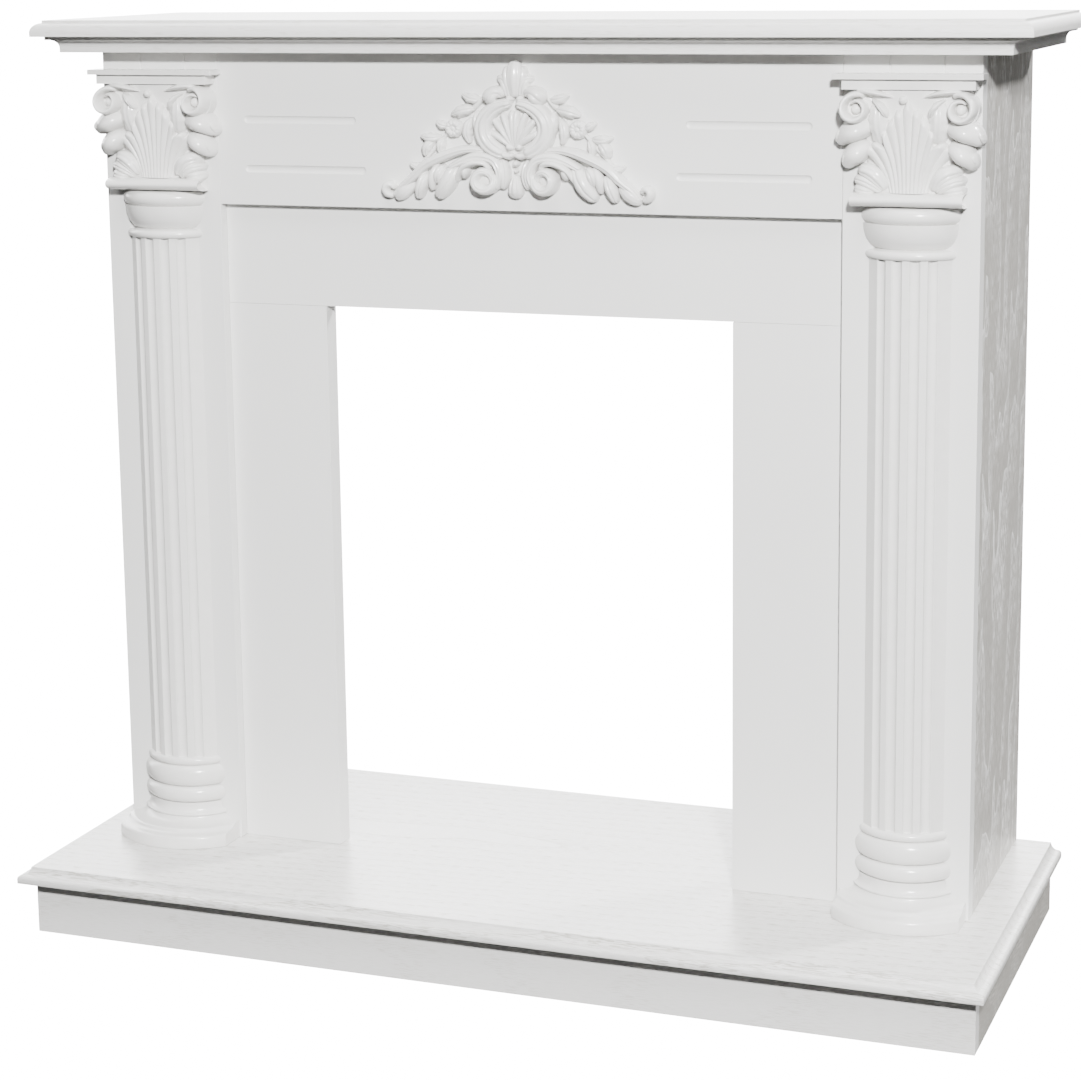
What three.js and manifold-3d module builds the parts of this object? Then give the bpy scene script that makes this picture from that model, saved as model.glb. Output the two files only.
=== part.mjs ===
// A white fireplace mantelpiece: a moulded shelf on a boxed chimneypiece with two fluted half columns,
// a frieze with a cast shell ornament, and a hearth slab on a low plinth. Millimetres, +Z up.
// X runs along the wall, Y runs towards it, and the origin is on the floor under the middle of the whole.
import * as THREE from 'three';
import { mergeVertices } from 'three/addons/utils/BufferGeometryUtils.js';
import Module from 'manifold-3d';

const wasm = await Module();
wasm.setup();

// Driving dimensions: the whole
const shelfWidth = 1120;
const bodyWidth = 1000;
const bodyDepth = 280;
const bodyHeight = 912;
const joint = 0.3;

// Driving dimensions: hearth and plinth
const hearthWidth = 1104;
const hearthReach = 180;
const hearthThickness = 18;
const hearthCove = 8.4;
const hearthBead = 3.6;
const plinthHeight = 63;
const plinthBoard = 18;
const plinthSetbackFront = 23;
const plinthSetbackSide = 12;

// Driving dimensions: boards of the body
const pilasterWidth = 143;
const faceBoard = 22;
const sideBoard = 18;
const openingWidth = 472;
const openingHeight = 630;
const headerHeight = 113;
const headerSetback = 13;
const headerBoard = 25;

// Driving dimensions: routed lines of the frieze and of the pilaster blocks
const grooveWidth = 8.4;
const grooveDepth = 2.4;
const grooveEdge = 32;
const upperGroove = { length: 136, drop: 74.5 };
const lowerGroove = { length: 147, drop: 129 };
const topBlock = 19.3;
const blockGroove = 1.6;
const blockGrooveOffsets = [-23.5, 32.5];

// Driving dimensions: cornice and shelf
const corniceThickness = 18;
const corniceFillet = 3.6;
const corniceLedge = 3;
const corniceCove = 9;
const corniceReach = 33;
const corniceSide = 36;
const shelfThickness = 18;
const shelfOvolo = 10.5;
const shelfFillet = 3;
const shelfOverhang = 12;

// Driving dimensions: half columns
const columnAxisBehind = 30;
const shaftHalfWidth = 43;
const fluteCount = 4;
const fluteWidth = 10.9;
const fluteDepth = 4;
const filletWidth = 8;
const footHeight = 43;
const footHalfWidth = 68.5;
const footReach = 65;
const footWaist = 47;
const lowerTorus = { height: 19, halfWidth: 52, bulge: 8 };
const upperTorus = { height: 25.5, halfWidth: 52, bulge: 9 };
const astragal = { height: 9, halfWidth: 47.5, bulge: 4 };
const neckBell = { height: 27.5, halfWidth: 50, flare: 14 };
const neckRing = { height: 16.5, halfWidth: 52, bulge: 7 };
const capitalBand = { height: 14.5, halfWidth: 59, reach: 30 };
const capitalHeight = 104.5;
const capitalReach = 27;
const abacusUpper = { height: 5.6, halfWidth: 77, reach: 27 };
const abacusLower = { height: 10.4, halfWidth: 68.5, reach: 22 };

// Driving dimensions: cast ornament of the frieze
const ornamentWidth = 304;
const ornamentReach = 17;
const ornamentLift = 11;
const ornamentPlate = 4;

// Cuts run past a face by a little, and past a whole piece by a lot
const overlap = 1;
const farAway = 1000;

// Levels and planes that follow from them
const face = 0;
const wall = bodyDepth;
const hearthTop = plinthHeight + hearthThickness;
const bodyTop = hearthTop + bodyHeight;
const corniceTop = bodyTop + corniceThickness;
const headerFace = face + headerSetback;
const openingTop = hearthTop + openingHeight;
const headerTop = openingTop + headerHeight;
const pilasterInner = bodyWidth / 2 - pilasterWidth;
const columnX = bodyWidth / 2 - pilasterWidth / 2;
const abacusBottom = bodyTop - topBlock - abacusUpper.height - abacusLower.height;
const capitalBottom = abacusBottom - joint - capitalHeight;
const bandBottom = capitalBottom - capitalBand.height;

// Paints
const satinPaint = { color: 0xe9e9e7, roughness: 0.42, metalness: 0 };
const limedPaint = { color: 0xdededb, roughness: 0.55, metalness: 0 };
const castPaint = { color: 0xeeeeec, roughness: 0.34, metalness: 0 };

const mantel = new THREE.Group();
mantel.position.set(0, (hearthReach - bodyDepth) / 2, 0);

function add(name, geometry, paint) {
  const mesh = new THREE.Mesh(geometry, new THREE.MeshStandardMaterial(paint));
  mesh.name = name;
  mantel.add(mesh);
}

// Plain closed board between two corners
function board(x0, x1, y0, y1, z0, z1) {
  const shape = new THREE.BoxGeometry(x1 - x0, y1 - y0, z1 - z0);
  return shape.translate((x0 + x1) / 2, (y0 + y1) / 2, (z0 + z1) / 2);
}

// Closed body through a stack of rings that all have the same number of corners, first ring lowest
function stacked(rings) {
  const count = rings[0].length;
  const index = [];
  rings.slice(1).forEach((_, level) => {
    for (let i = 0; i < count; i += 1) {
      const a = level * count + i;
      const b = level * count + (i + 1) % count;
      index.push(a, b, b + count, a, b + count, a + count);
    }
  });
  const last = (rings.length - 1) * count;
  for (let i = 1; i < count - 1; i += 1) {
    index.push(0, i + 1, i, last, last + i, last + i + 1);
  }
  const geometry = new THREE.BufferGeometry();
  geometry.setAttribute('position', new THREE.Float32BufferAttribute(rings.flat(2), 3));
  geometry.setIndex(index);
  return geometry;
}

// Board with one edge moulding run along its front and both ends, mitred at the corners.
// The profile lists how far each level is set in from the widest outline, from the bottom up.
function mouldedBoard(halfWidth, front, back, profile) {
  return stacked(profile.map(([inset, z]) => [
    [inset - halfWidth, front + inset, z],
    [halfWidth - inset, front + inset, z],
    [halfWidth - inset, back, z],
    [inset - halfWidth, back, z],
  ]));
}

// Points of an elliptical quarter between two angles, in degrees
function arc(cx, cy, rx, ry, from, to, steps) {
  return Array.from({ length: steps + 1 }, (_, i) => {
    const angle = THREE.MathUtils.degToRad(from + (to - from) * i / steps);
    return [cx + rx * Math.cos(angle), cy + ry * Math.sin(angle)];
  });
}

function solid(geometry) {
  const bare = geometry.index ? geometry.clone() : geometry;
  bare.deleteAttribute('normal');
  bare.deleteAttribute('uv');
  const merged = mergeVertices(bare, 1e-4);
  return new wasm.Manifold(new wasm.Mesh({
    numProp: 3,
    vertProperties: new Float32Array(merged.attributes.position.array),
    triVerts: new Uint32Array(merged.index.array),
  }));
}

function surface(body) {
  const mesh = body.getMesh();
  const geometry = new THREE.BufferGeometry();
  geometry.setAttribute('position', new THREE.BufferAttribute(new Float32Array(mesh.vertProperties), 3));
  geometry.setIndex(new THREE.BufferAttribute(new Uint32Array(mesh.triVerts), 1));
  return geometry;
}

function joined(geometries) {
  return geometries.map(solid).reduce((whole, piece) => whole.add(piece));
}

// Hearth: a moulded slab on a plinth box of four boards
function hearth() {
  const half = hearthWidth / 2;
  const beadTop = hearthTop - hearthCove;
  const profile = [
    [0, plinthHeight + joint],
    ...arc(hearthBead, beadTop - hearthBead, hearthBead, hearthBead, 180, 90, 3),
    ...arc(hearthBead, hearthTop, hearthCove, hearthCove, -70, 0, 5),
  ];
  add('hearth_slab', mouldedBoard(half, face - hearthReach, wall, profile), limedPaint);

  const outer = half - plinthSetbackSide;
  const front = face - hearthReach + plinthSetbackFront;
  const inner = outer - plinthBoard;
  add('plinth_front', board(-outer, outer, front, front + plinthBoard, 0, plinthHeight), limedPaint);
  for (const [side, name] of [[-1, 'plinth_left'], [1, 'plinth_right']]) {
    const ends = [side * inner, side * outer].sort((a, b) => a - b);
    add(name, board(...ends, front + plinthBoard + joint, wall, 0, plinthHeight), limedPaint);
  }
  const rail = [joint - inner, inner - joint, wall - plinthBoard, wall];
  add('plinth_back', board(...rail, 0, plinthHeight), limedPaint);
}

// Routed line with round ends, cut along X to a round bottom
function routedLine(x0, x1, z) {
  const radius = grooveWidth / 2;
  const rod = new THREE.CapsuleGeometry(radius, x1 - x0 - grooveWidth, 3, 10);
  rod.rotateZ(Math.PI / 2);
  rod.scale(1, grooveDepth / radius, 1);
  return rod.translate((x0 + x1) / 2, face, z);
}

// Body: pilaster boards with grooved top blocks, side panels, frieze, header and inner panels
function body() {
  const low = hearthTop + joint;
  const high = bodyTop - joint;
  const outer = bodyWidth / 2;
  const blockBottom = bodyTop - topBlock;
  for (const [side, name] of [[-1, 'left'], [1, 'right']]) {
    const pair = (a, b) => [side * a, side * b].sort((p, q) => p - q);
    let pilaster = solid(board(...pair(pilasterInner, outer), face, face + faceBoard, low, high));
    for (const offset of blockGrooveOffsets) {
      const x = side * columnX + offset;
      const cut = board(x - blockGroove / 2, x + blockGroove / 2, face - overlap, face + blockGroove,
        blockBottom, high + overlap);
      pilaster = pilaster.subtract(solid(cut));
    }
    add(`pilaster_${name}`, surface(pilaster), satinPaint);
    const behind = face + faceBoard + joint;
    add(`side_panel_${name}`, board(...pair(outer - sideBoard, outer), behind, wall, low, high), limedPaint);
    const jamb = pair(openingWidth / 2, pilasterInner - joint);
    const deep = headerFace + headerBoard;
    add(`inner_panel_${name}`, board(...jamb, headerFace, deep, low, openingTop - joint), satinPaint);
  }
  const reach = pilasterInner - joint;
  const back = headerFace + headerBoard;
  add('header_panel', board(-reach, reach, headerFace, back, openingTop, headerTop - joint), satinPaint);
  let frieze = solid(board(-reach, reach, face, face + faceBoard, headerTop, high));
  for (const { length, drop } of [upperGroove, lowerGroove]) {
    for (const side of [-1, 1]) {
      const start = side * (reach - grooveEdge);
      const ends = [start, start - side * length].sort((a, b) => a - b);
      frieze = frieze.subtract(solid(routedLine(...ends, bodyTop - drop)));
    }
  }
  add('frieze_panel', surface(frieze), satinPaint);
}

// Cornice board with a fillet and a cove, and the shelf over it with an ovolo edge
function shelf() {
  const inset = corniceLedge + corniceCove;
  const coveTop = corniceTop - joint - corniceFillet;
  const cornice = [
    [inset, bodyTop],
    ...arc(corniceLedge, coveTop - corniceCove, corniceCove, corniceCove, 0, 90, 5),
    [0, coveTop],
    [0, corniceTop - joint],
  ];
  const half = bodyWidth / 2 + corniceSide + inset;
  add('cornice', mouldedBoard(half, face - corniceReach - inset, wall, cornice), limedPaint);
  const top = corniceTop + shelfThickness;
  const nose = top - shelfFillet - shelfOvolo;
  const edge = [
    [0, corniceTop],
    ...arc(shelfOvolo, nose, shelfOvolo, shelfOvolo, 180, 90, 6),
    [shelfOvolo, top],
  ];
  const front = face - corniceReach - inset - shelfOverhang;
  add('mantel_shelf', mouldedBoard(shelfWidth / 2, front, wall, edge), limedPaint);
}

// What lies in front of the pilaster face, between two sawn sides
function inFrontOf(body, halfWidth) {
  const kept = board(-halfWidth, halfWidth, -farAway, face - joint, -farAway, farAway + bodyTop);
  return body.intersect(solid(kept));
}

// Turned body about the column's axis, which lies behind the pilaster face
function turned(profile, steps) {
  const points = profile.map(([radius, z]) => new THREE.Vector2(radius, z));
  const lathe = new THREE.LatheGeometry(points, steps, Math.PI / steps);
  lathe.rotateX(Math.PI / 2);
  return lathe.translate(0, columnAxisBehind, 0);
}

// Radius whose circle has the given half width where it meets the pilaster face
function radiusFor(halfWidth) {
  return Math.hypot(halfWidth, columnAxisBehind);
}

// Profile of a turned convex ring that stands on a level
function roundRing({ height, halfWidth, bulge }, z, steps) {
  return arc(radiusFor(halfWidth) - bulge, z + height / 2, bulge, height / 2, -90, 90, steps);
}

// Outline of the fluted shaft, seen from above, with hollow flutes between flat fillets
function shaftOutline() {
  const radius = radiusFor(shaftHalfWidth);
  const end = Math.asin(shaftHalfWidth / radius);
  const flute = fluteWidth / radius;
  const pitch = (fluteWidth + filletWidth) / radius;
  const at = (angle, r) => new THREE.Vector2(r * Math.sin(angle), columnAxisBehind - r * Math.cos(angle));
  const points = [at(-end, radius)];
  for (let i = 0; i < fluteCount; i += 1) {
    const middle = (i - (fluteCount - 1) / 2) * pitch;
    for (let s = 0; s <= 4; s += 1) {
      const across = s / 2 - 1;
      const hollow = fluteDepth * Math.sqrt(Math.max(0, 1 - across * across));
      points.push(at(middle + across * flute / 2, radius - hollow));
    }
  }
  points.push(at(end, radius));
  return new THREE.Shape(points.map((p) => new THREE.Vector2(p.x, Math.min(p.y, face - joint))));
}

// Shaft: fluted between a base of two tori and an astragal, and a neck of an astragal, a bell and a ring
function shaft() {
  const bottom = hearthTop + joint + footHeight + joint;
  const lowerTop = bottom + lowerTorus.height;
  const upperTop = lowerTop + upperTorus.height;
  const baseTop = upperTop + astragal.height;
  const top = bandBottom - joint;
  const ringBottom = top - neckRing.height;
  const bellBottom = ringBottom - neckBell.height;
  const crownBottom = bellBottom - astragal.height;
  const base = [
    [0, bottom],
    ...roundRing(lowerTorus, bottom, 5),
    ...roundRing(upperTorus, lowerTop, 6).slice(1),
    ...roundRing(astragal, upperTop, 4).slice(1),
    [0, baseTop],
  ];
  const bellRadius = radiusFor(neckBell.halfWidth);
  const crown = [
    [0, crownBottom],
    ...roundRing(astragal, crownBottom, 4),
    ...arc(bellRadius - neckBell.flare, ringBottom, neckBell.flare, neckBell.height - overlap, -80, 0, 5),
    ...roundRing(neckRing, ringBottom, 5).slice(1),
    [0, top],
  ];
  const fluted = new THREE.ExtrudeGeometry(shaftOutline(), {
    depth: crownBottom - baseTop + 2 * overlap,
    bevelEnabled: false,
  });
  fluted.translate(0, 0, baseTop - overlap);
  const widest = Math.max(lowerTorus.halfWidth, upperTorus.halfWidth, neckRing.halfWidth);
  const rings = joined([turned(base, 30), turned(crown, 30)]);
  return surface(inFrontOf(rings, widest).add(solid(fluted)));
}

// Foot: a flared bell over small steps, turned, then sawn flat on both sides. Its profile is drawn in
// shares of the flare and of the foot's height.
function foot() {
  const bottom = hearthTop + joint;
  const rim = columnAxisBehind + footReach;
  const waist = radiusFor(footWaist);
  const at = ([flare, height]) => [waist + (rim - waist) * flare, bottom + footHeight * height];
  const steps = [[1, 0], [1, 0.16], [0.91, 0.24], [0.75, 0.3], [0.7, 0.38]];
  const bell = arc(0.7, 0.86, 0.62, 0.44, 250, 180, 4);
  const outline = [...steps, ...bell, [0, 0.9], [0, 1]].map(at);
  const profile = [[0, bottom], ...outline, [0, bottom + footHeight]];
  return surface(inFrontOf(solid(turned(profile, 36)), footHalfWidth));
}

// One carved stroke: a rounded ridge along a curve in the X-Z plane, standing out from the face towards
// -Y. Each station gives x, z, half width and height, and the crown of the ridge is a shallow dome.
function stroke(stations) {
  const rings = stations.map(([x, z, half, height], i) => {
    const before = stations[Math.max(i - 1, 0)];
    const after = stations[Math.min(i + 1, stations.length - 1)];
    const length = Math.hypot(after[0] - before[0], after[1] - before[1]);
    const side = [(after[1] - before[1]) / length, (before[0] - after[0]) / length];
    const shoulder = Math.max(height - half * 0.9, height * 0.35);
    const section = [[-1, 0], [-0.85, shoulder], [0, height], [0.85, shoulder], [1, 0]];
    return section.map(([across, out]) => [
      x + side[0] * half * across, face - joint - out, z + side[1] * half * across,
    ]);
  });
  const geometry = stacked(rings);
  const ridge = solid(geometry);
  if (ridge.volume() > 0) return ridge;
  const index = Array.from(geometry.index.array);
  for (let i = 0; i < index.length; i += 3) {
    [index[i], index[i + 1]] = [index[i + 1], index[i]];
  }
  geometry.setIndex(index);
  return solid(geometry);
}

// Stations along a quadratic curve from a to b, pulled towards the bend
function leafPath(a, bend, b, halfWidths, height, steps = 4) {
  return Array.from({ length: steps + 1 }, (_, i) => {
    const t = i / steps;
    const [x, z] = [0, 1].map((k) => (1 - t) ** 2 * a[k] + 2 * t * (1 - t) * bend[k] + t * t * b[k]);
    const [start, middle, end] = halfWidths;
    const half = start * (1 - t) ** 2 + middle * 4 * t * (1 - t) + end * t * t;
    return [x, z, Math.max(half, 0.8), height * (0.82 + 0.18 * Math.sin(Math.PI * t))];
  });
}

// Stations along a spiral that winds in towards its centre
function spiralPath(centre, radius, from, turns, half, height, steps) {
  return Array.from({ length: steps + 1 }, (_, i) => {
    const t = i / steps;
    const angle = THREE.MathUtils.degToRad(from + 360 * turns * t);
    const r = radius * (1 - 0.68 * t);
    return [centre[0] + r * Math.cos(angle), centre[1] + r * Math.sin(angle), half * (1 - 0.35 * t), height];
  });
}

function mirrored(stations) {
  return stations.map(([x, z, half, height]) => [-x, z, half, height]);
}

// Capital: a bell with a fan of acanthus lobes, two rolled leaves and a volute at each side, on a round
// band. The carving is drawn from the capital's foot at the middle, 104.5 high and 27 deep.
function capital() {
  const unit = capitalHeight / 104.5;
  const outward = capitalReach / 27;
  const half = [
    leafPath([0, 0], [0, 50], [0, 94], [6, 12, 5], 26),
    leafPath([6, 0], [15, 44], [14, 83], [4, 9, 6], 24),
    leafPath([11, 0], [23, 32], [24, 63], [4, 8, 6], 22),
    leafPath([17, 0], [30, 24], [42, 49], [4, 8, 6], 20),
    leafPath([26, 0], [46, 2], [55, 22], [4, 6, 3], 17, 3),
    leafPath([38, 46], [56, 50], [62, 24], [5, 8, 4], 18),
    leafPath([38, 68], [60, 76], [69, 48], [6, 9, 4], 19),
    leafPath([14, 88], [28, 103], [52, 99], [3, 4, 4], 20, 3),
    spiralPath([54, 84.5], 14.5, 100, -1.25, 4, 23, 10),
    spiralPath([54, 84.5], 4, 0, 0.75, 4, 24, 3),
  ];
  const bellRings = [[0, 44, 15], [30, 46, 17], [70, 52, 19], [90, 58, 20.5], [102, 60, 21]];
  const bell = stacked(bellRings.map(([z, halfWidth, depth]) => [-90, -45, 0, 45, 90].map((turn) => {
    const angle = THREE.MathUtils.degToRad(turn);
    return [halfWidth * Math.sin(angle) * unit, face - joint - depth * Math.cos(angle) * outward,
      capitalBottom + z * unit];
  })));
  const bodies = half.flatMap((path, i) => (i === 0 ? [path] : [path, mirrored(path)]))
    .map((path) => stroke(path.map(([x, z, w, h]) => [
      x * unit, z * unit + capitalBottom, w * unit, h * outward,
    ])));
  const radius = capitalBand.height / 2;
  const bar = new THREE.CapsuleGeometry(radius, 2 * (capitalBand.halfWidth - radius), 3, 10);
  bar.rotateZ(Math.PI / 2);
  bar.scale(1, capitalBand.reach / radius, 1);
  bar.translate(0, face, bandBottom + radius);
  const top = capitalBottom + capitalHeight;
  const limit = board(-farAway, farAway, -farAway, face - joint, bandBottom, top);
  const whole = [solid(bell), ...bodies, solid(bar)].reduce((sum, piece) => sum.add(piece));
  return surface(whole.intersect(solid(limit)));
}

// Abacus: two flat steps under the pilaster's top block
function abacus() {
  const split = abacusBottom + abacusLower.height;
  const lower = board(-abacusLower.halfWidth, abacusLower.halfWidth, face - abacusLower.reach, face - joint,
    abacusBottom, split);
  const upper = board(-abacusUpper.halfWidth, abacusUpper.halfWidth, face - abacusUpper.reach, face - joint,
    split, split + abacusUpper.height);
  return surface(joined([lower, upper]));
}

function columns() {
  for (const [side, name] of [[-1, 'left'], [1, 'right']]) {
    const place = (geometry) => geometry.translate(side * columnX, 0, 0);
    add(`column_foot_${name}`, place(foot()), castPaint);
    add(`column_shaft_${name}`, place(shaft()), castPaint);
    add(`capital_${name}`, place(capital()), castPaint);
    add(`abacus_${name}`, place(abacus()), castPaint);
  }
}

// Ornament: a ribbed shell in an oval frame under a leaf finial, flowering sprays and long acanthus
// scrolls at both sides, and a drop at the foot. Drawn 304 wide and 17 deep from the foot of the drop.
function ornament() {
  const unit = ornamentWidth / 304;
  const outward = ornamentReach / 17;
  const middle = [
    leafPath([0, 108], [0, 130], [0, 154], [6, 11, 6], 9),
    leafPath([0, 32], [0, 16], [0, 1], [3, 7, 6], 9),
    leafPath([0, 56], [0, 42], [0, 30], [3, 4, 3], 7, 3),
  ];
  const frame = [
    leafPath([9, 49], [46, 46], [41, 82], [6, 7, 6], 17, 5),
    leafPath([41, 82], [38, 108], [4, 103], [6, 6, 4], 17, 5),
  ];
  const shellFocus = 58;
  const shell = [8, 28, 50, 74].map((lean, i) => {
    const angle = THREE.MathUtils.degToRad(lean);
    const length = 42 - i * 4.5;
    const tip = [length * Math.sin(angle), shellFocus + length * Math.cos(angle)];
    const bend = [tip[0] * 0.45, (shellFocus + tip[1]) / 2 + 3];
    return leafPath([1.5, shellFocus - 2], bend, tip, [2, 4.5, 3.5], 10, 3);
  });
  const crest = [
    leafPath([7, 110], [12, 128], [27, 129], [4, 5, 2], 8, 3),
    leafPath([6, 110], [24, 130], [36, 106], [5, 7, 5], 13),
  ];
  const spray = [
    leafPath([36, 104], [48, 104], [58, 114], [3, 5, 1], 7, 3),
    leafPath([40, 106], [58, 102], [76, 95], [3, 6, 1], 8, 3),
    leafPath([44, 100], [52, 88], [53, 72], [2, 5, 1], 7, 3),
    leafPath([54, 92], [60, 76], [61, 62], [2, 5, 1], 7, 3),
    leafPath([76, 82], [84, 90], [93, 82], [3, 5, 1], 8, 3),
    leafPath([80, 70], [94, 76], [109, 66], [3, 6, 1], 8, 3),
    leafPath([86, 66], [100, 62], [106, 46], [3, 5, 1], 7, 3),
    leafPath([98, 46], [110, 47], [121, 38], [3, 5, 2], 7, 3),
  ];
  const flower = [72, 77];
  const petalLength = 9;
  const petals = Array.from({ length: 5 }, (_, i) => {
    const angle = THREE.MathUtils.degToRad(90 + 72 * i);
    const out = [flower[0] + petalLength * Math.cos(angle), flower[1] + petalLength * Math.sin(angle)];
    return leafPath(flower, [(flower[0] + out[0]) / 2, (flower[1] + out[1]) / 2], out, [3, 4.5, 3], 9, 2);
  });
  const scroll = [
    leafPath([20, 24], [15, 58], [48, 51], [6, 5, 5], 15, 5),
    leafPath([46, 51], [80, 50], [100, 28], [5, 8, 7], 14),
    leafPath([92, 36], [116, 8], [142, 5], [7, 8, 6], 12, 3),
    spiralPath([32, 22], 12, 170, 1.1, 4.5, 15, 8),
    spiralPath([145, 14], 8, -80, 0.8, 4.5, 10, 5),
    leafPath([50, 46], [60, 38], [60, 22], [4, 4, 2], 10, 3),
    leafPath([62, 44], [70, 20], [90, 2], [5, 7, 4], 12),
    leafPath([84, 36], [96, 14], [110, 1], [5, 6, 4], 11, 3),
    leafPath([20, 44], [10, 26], [17, 12], [4, 5, 3], 9),
  ];
  const low = headerTop + ornamentLift;
  const half = [...frame, ...shell, ...crest, ...spray, ...petals, ...scroll];
  const bodies = [...middle, ...half, ...half.map(mirrored)]
    .map((path) => stroke(path.map(([x, z, w, h]) => [x * unit, z * unit + low, w * unit, h * outward])));
  const oval = { halfWidth: 36, halfHeight: 27, middle: 79 };
  const plate = new THREE.CylinderGeometry(1, 1, ornamentPlate, 20);
  plate.scale(oval.halfWidth * unit, 1, oval.halfHeight * unit);
  plate.translate(0, face - joint - ornamentPlate / 2, low + oval.middle * unit);
  return surface([solid(plate), ...bodies].reduce((whole, piece) => whole.add(piece)));
}

hearth();
body();
shelf();
columns();
add('ornament', ornament(), castPaint);

export default mantel;
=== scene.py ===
# %% [markdown]
# # A white fireplace mantelpiece
#
# The real piece is joinery. Boards of veneered panel are lacquered white, and mouldings run along the edges
# of the hearth, the cornice and the shelf. On it sit pieces cast in resin from carved models: two half
# columns with leaf capitals, and a shell ornament on the frieze. The boards come from the measured model and
# keep their shape, so they only need their finish and slightly eased arrises. What is turned, moulded or
# carved is made here once more, with a finer surface, exactly where the measured piece stands.

# %% Load the measured model
import math

import bmesh
import bpy
import numpy as np
from mathutils import Matrix, Vector


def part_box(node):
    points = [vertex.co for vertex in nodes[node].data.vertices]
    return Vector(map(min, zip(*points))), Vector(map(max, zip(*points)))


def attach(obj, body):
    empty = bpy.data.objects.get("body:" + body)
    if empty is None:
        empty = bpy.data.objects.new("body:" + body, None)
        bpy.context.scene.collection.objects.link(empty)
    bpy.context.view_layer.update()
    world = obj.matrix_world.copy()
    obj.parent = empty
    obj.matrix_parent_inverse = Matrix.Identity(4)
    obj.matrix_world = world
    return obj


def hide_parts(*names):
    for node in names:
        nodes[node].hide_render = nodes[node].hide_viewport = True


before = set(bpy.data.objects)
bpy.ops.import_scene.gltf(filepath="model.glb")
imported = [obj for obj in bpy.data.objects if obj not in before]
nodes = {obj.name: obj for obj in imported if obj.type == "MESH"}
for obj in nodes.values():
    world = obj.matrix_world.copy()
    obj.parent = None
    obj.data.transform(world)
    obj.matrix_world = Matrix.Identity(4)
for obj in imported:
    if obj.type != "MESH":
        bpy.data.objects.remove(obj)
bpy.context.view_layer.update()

# %% [markdown]
# Every size below is in millimetres, because that is how a joiner reads a drawing, and a mesh is turned to
# metres only when it is made. Places come from the measured pieces: the face that the columns are planted
# on, and the tops and bottoms between which each new piece has to fit.

# %% Places taken from the measured pieces
MM = 0.001


def box_mm(node):
    """Lowest and highest corner of a measured piece, in millimetres."""
    low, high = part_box(node)
    return np.array(low) / MM, np.array(high) / MM


FACE = box_mm("pilaster_left")[0][1]
WALL = box_mm("side_panel_left")[1][1]
JOINT = 0.3
SIDES = {"left": -1, "right": 1}
print("pilaster face at", round(FACE, 1), "and wall at", round(WALL, 1))

# %% [markdown]
# ## The camera
#
# The picture was taken from the right, with the lens at shelf height and its image shifted down, so that
# upright edges stay nearly parallel. The place of the lens is kept exactly, since that decides what hides
# what. Part of the shift is given up for a slight downward tilt, which keeps the object inside the frame
# when somebody walks round it with this camera.

# %% Camera
FRAME_WIDTH = 1081
SENSOR = 36.0
LENS_PLACE = (1020.2, -2713.6, 1105.3)
YAW = 20.535
PITCH = 10.389
ROLL = 0.700
FOCAL_PIXELS = 2656.8
SHIFT = -0.10


def camera_axes(yaw, pitch, roll):
    """Right, up and backward unit vectors of a camera that looks along +Y, turned left by yaw, then down
    by pitch, then clockwise by roll, all in degrees."""
    y, p, r = np.radians([yaw, pitch, roll])
    forward = np.array([-np.sin(y) * np.cos(p), np.cos(y) * np.cos(p), -np.sin(p)])
    level = np.array([np.cos(y), np.sin(y), 0.0])
    down = np.cross(forward, level)
    right = level * np.cos(r) + down * np.sin(r)
    up = level * np.sin(r) - down * np.cos(r)
    return right, up, -forward


camera = bpy.data.objects.new("camera", bpy.data.cameras.new("camera"))
bpy.context.scene.collection.objects.link(camera)
turn = np.eye(4)
turn[:3, :3] = np.column_stack(camera_axes(YAW, PITCH, ROLL))
turn[:3, 3] = np.array(LENS_PLACE) * MM
camera.matrix_world = Matrix(turn.tolist())
camera.data.sensor_width = SENSOR
camera.data.lens = SENSOR * FOCAL_PIXELS / FRAME_WIDTH
camera.data.shift_y = SHIFT
camera.data.clip_end = 100.0
bpy.context.scene.camera = camera
print("lens", round(camera.data.lens, 1), "mm at", [round(v, 3) for v in camera.location])

# %% [markdown]
# ## Grids that become closed meshes
#
# Nearly every shape here is a grid of points: rows along the piece, columns round its section. Numpy works
# out the whole grid at once, and one function turns it into a mesh. A shell is such a grid whose columns
# close on themselves and whose two ends are closed by fans, so each shell is a solid body. A cast piece is
# many shells pushed into each other, as a modeller builds up leaves on a ground.

# %% Grids, shells and mesh objects


def grid_faces(rows, columns):
    """Corners of the four-sided faces between neighbouring points of a grid whose last column meets its
    first, as an array with one face to a line."""
    row, column = np.meshgrid(np.arange(rows - 1), np.arange(columns), indexing="ij")
    after = (column + 1) % columns
    here, above = row * columns, (row + 1) * columns
    return np.stack([here + column, here + after, above + after, above + column], -1).reshape(-1, 4)


def shell(points):
    """Closed shell over a grid (rows, columns, 3): its first and last row are each closed by a fan to the
    middle of that row."""
    middles = np.repeat(points[[0, -1]].mean(axis=1, keepdims=True), points.shape[1], axis=1)
    whole = np.concatenate([middles[:1], points, middles[1:]])
    return whole.reshape(-1, 3), grid_faces(whole.shape[0], whole.shape[1])


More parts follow.
